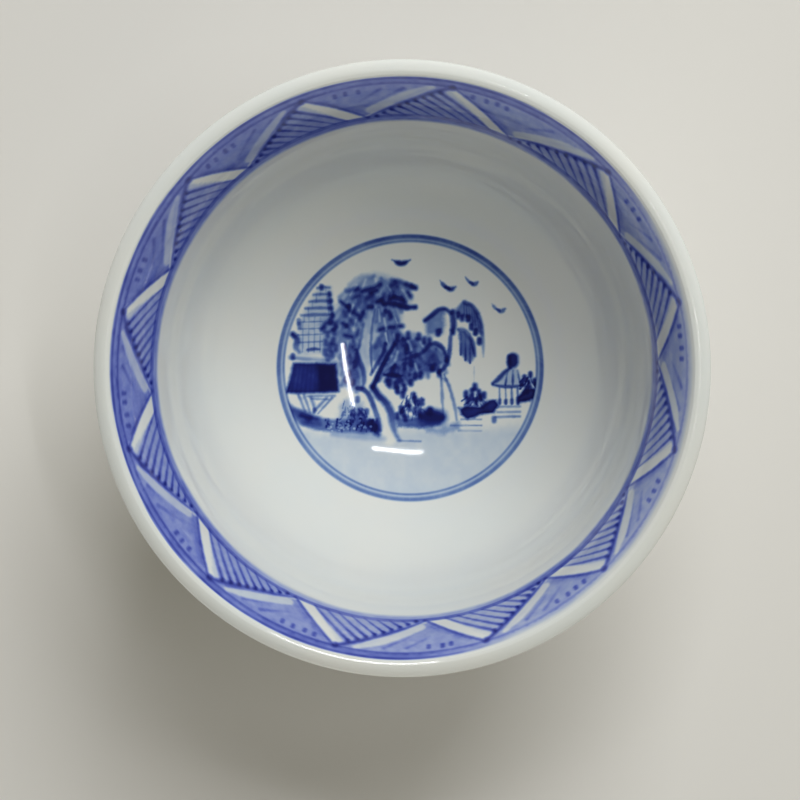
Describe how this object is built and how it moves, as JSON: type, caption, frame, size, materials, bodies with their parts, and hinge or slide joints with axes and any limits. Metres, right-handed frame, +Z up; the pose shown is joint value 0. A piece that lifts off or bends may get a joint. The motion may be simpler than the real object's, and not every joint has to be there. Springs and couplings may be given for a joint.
{
  "type": "teacup",
  "caption": "Handleless porcelain teacup with a flared lip on a turned foot ring, painted inside in cobalt blue with a zigzag border and a landscape roundel.",
  "frame": {"origin": "middle of the foot ring's contact face, on the surface that the cup stands on", "axes": "+Z up along the cup's axis, +Y towards the top of the painted scene, +X to the right of the scene"},
  "size_m": [0.084, 0.084, 0.046],
  "materials": {
    "porcelain": "matte",
    "clear_glaze": "gloss",
    "dark_cobalt": "gloss",
    "cobalt": "gloss",
    "pale_cobalt": "gloss"
  },
  "bodies": {
    "root": {"bowl_body": "porcelain", "foot_ring": "porcelain", "inner_glaze": "clear_glaze", "lip_glaze": "clear_glaze", "outer_glaze": "clear_glaze", "recess_glaze": "clear_glaze", "border_upper_line": "cobalt", "border_dotted_panels": "cobalt", "border_hatched_panels": "pale_cobalt", "border_lower_line": "cobalt", "roundel_outer_line": "dark_cobalt", "roundel_wash_ring": "pale_cobalt", "roundel_inner_line": "cobalt", "roundel_birds": "cobalt", "roundel_pagoda": "cobalt", "roundel_hut": "dark_cobalt", "roundel_tree": "cobalt", "roundel_willow": "cobalt", "roundel_rocks": "dark_cobalt", "roundel_pavilion": "cobalt", "roundel_water": "pale_cobalt", "outside_lip_lines": "cobalt", "outside_foot_lines": "cobalt"}
  },
  "joints": []
}
